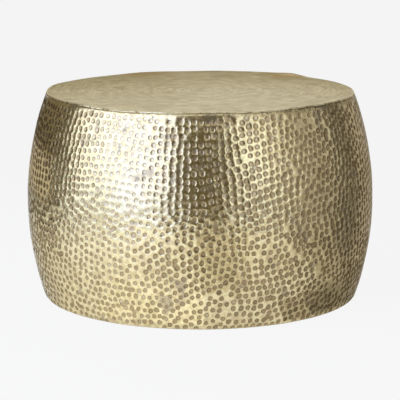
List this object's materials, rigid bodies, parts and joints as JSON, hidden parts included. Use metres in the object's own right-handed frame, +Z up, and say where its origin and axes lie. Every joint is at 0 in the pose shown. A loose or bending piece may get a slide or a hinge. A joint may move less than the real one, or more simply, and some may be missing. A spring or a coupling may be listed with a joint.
{
  "type": "coffee table",
  "caption": "Round barrel-shaped coffee table of hammered sheet metal with a smooth flat sheet top, a turned-in foot and low glides.",
  "frame": {"origin": "on the floor, below the middle of the round top", "axes": "+Z up along the axis of the drum, +X to the right and +Y away from the viewer in the picture"},
  "size_m": [0.66, 0.66, 0.3935],
  "materials": {
    "hammered_brass": "antique brass finish on hammered aluminium sheet, darker patina in the hammer marks",
    "satin_brass": "satin brushed brass finish on smooth aluminium sheet",
    "board_wood": "raw fibreboard",
    "zinc_steel": "zinc-plated steel",
    "nylon": "black nylon"
  },
  "bodies": {
    "root": {"drum_wall": "hammered_brass", "top_sheet": "satin_brass", "top_board": "board_wood", "base_hoop": "zinc_steel", "board_bracket_1": "zinc_steel", "board_bracket_2": "zinc_steel", "board_bracket_3": "zinc_steel", "board_bracket_4": "zinc_steel", "board_bracket_5": "zinc_steel", "board_bracket_6": "zinc_steel", "board_screw_1": "zinc_steel", "board_screw_2": "zinc_steel", "board_screw_3": "zinc_steel", "board_screw_4": "zinc_steel", "board_screw_5": "zinc_steel", "board_screw_6": "zinc_steel", "glide_1": "nylon", "glide_2": "nylon", "glide_3": "nylon", "glide_4": "nylon", "glide_5": "nylon", "glide_6": "nylon"}
  },
  "joints": []
}
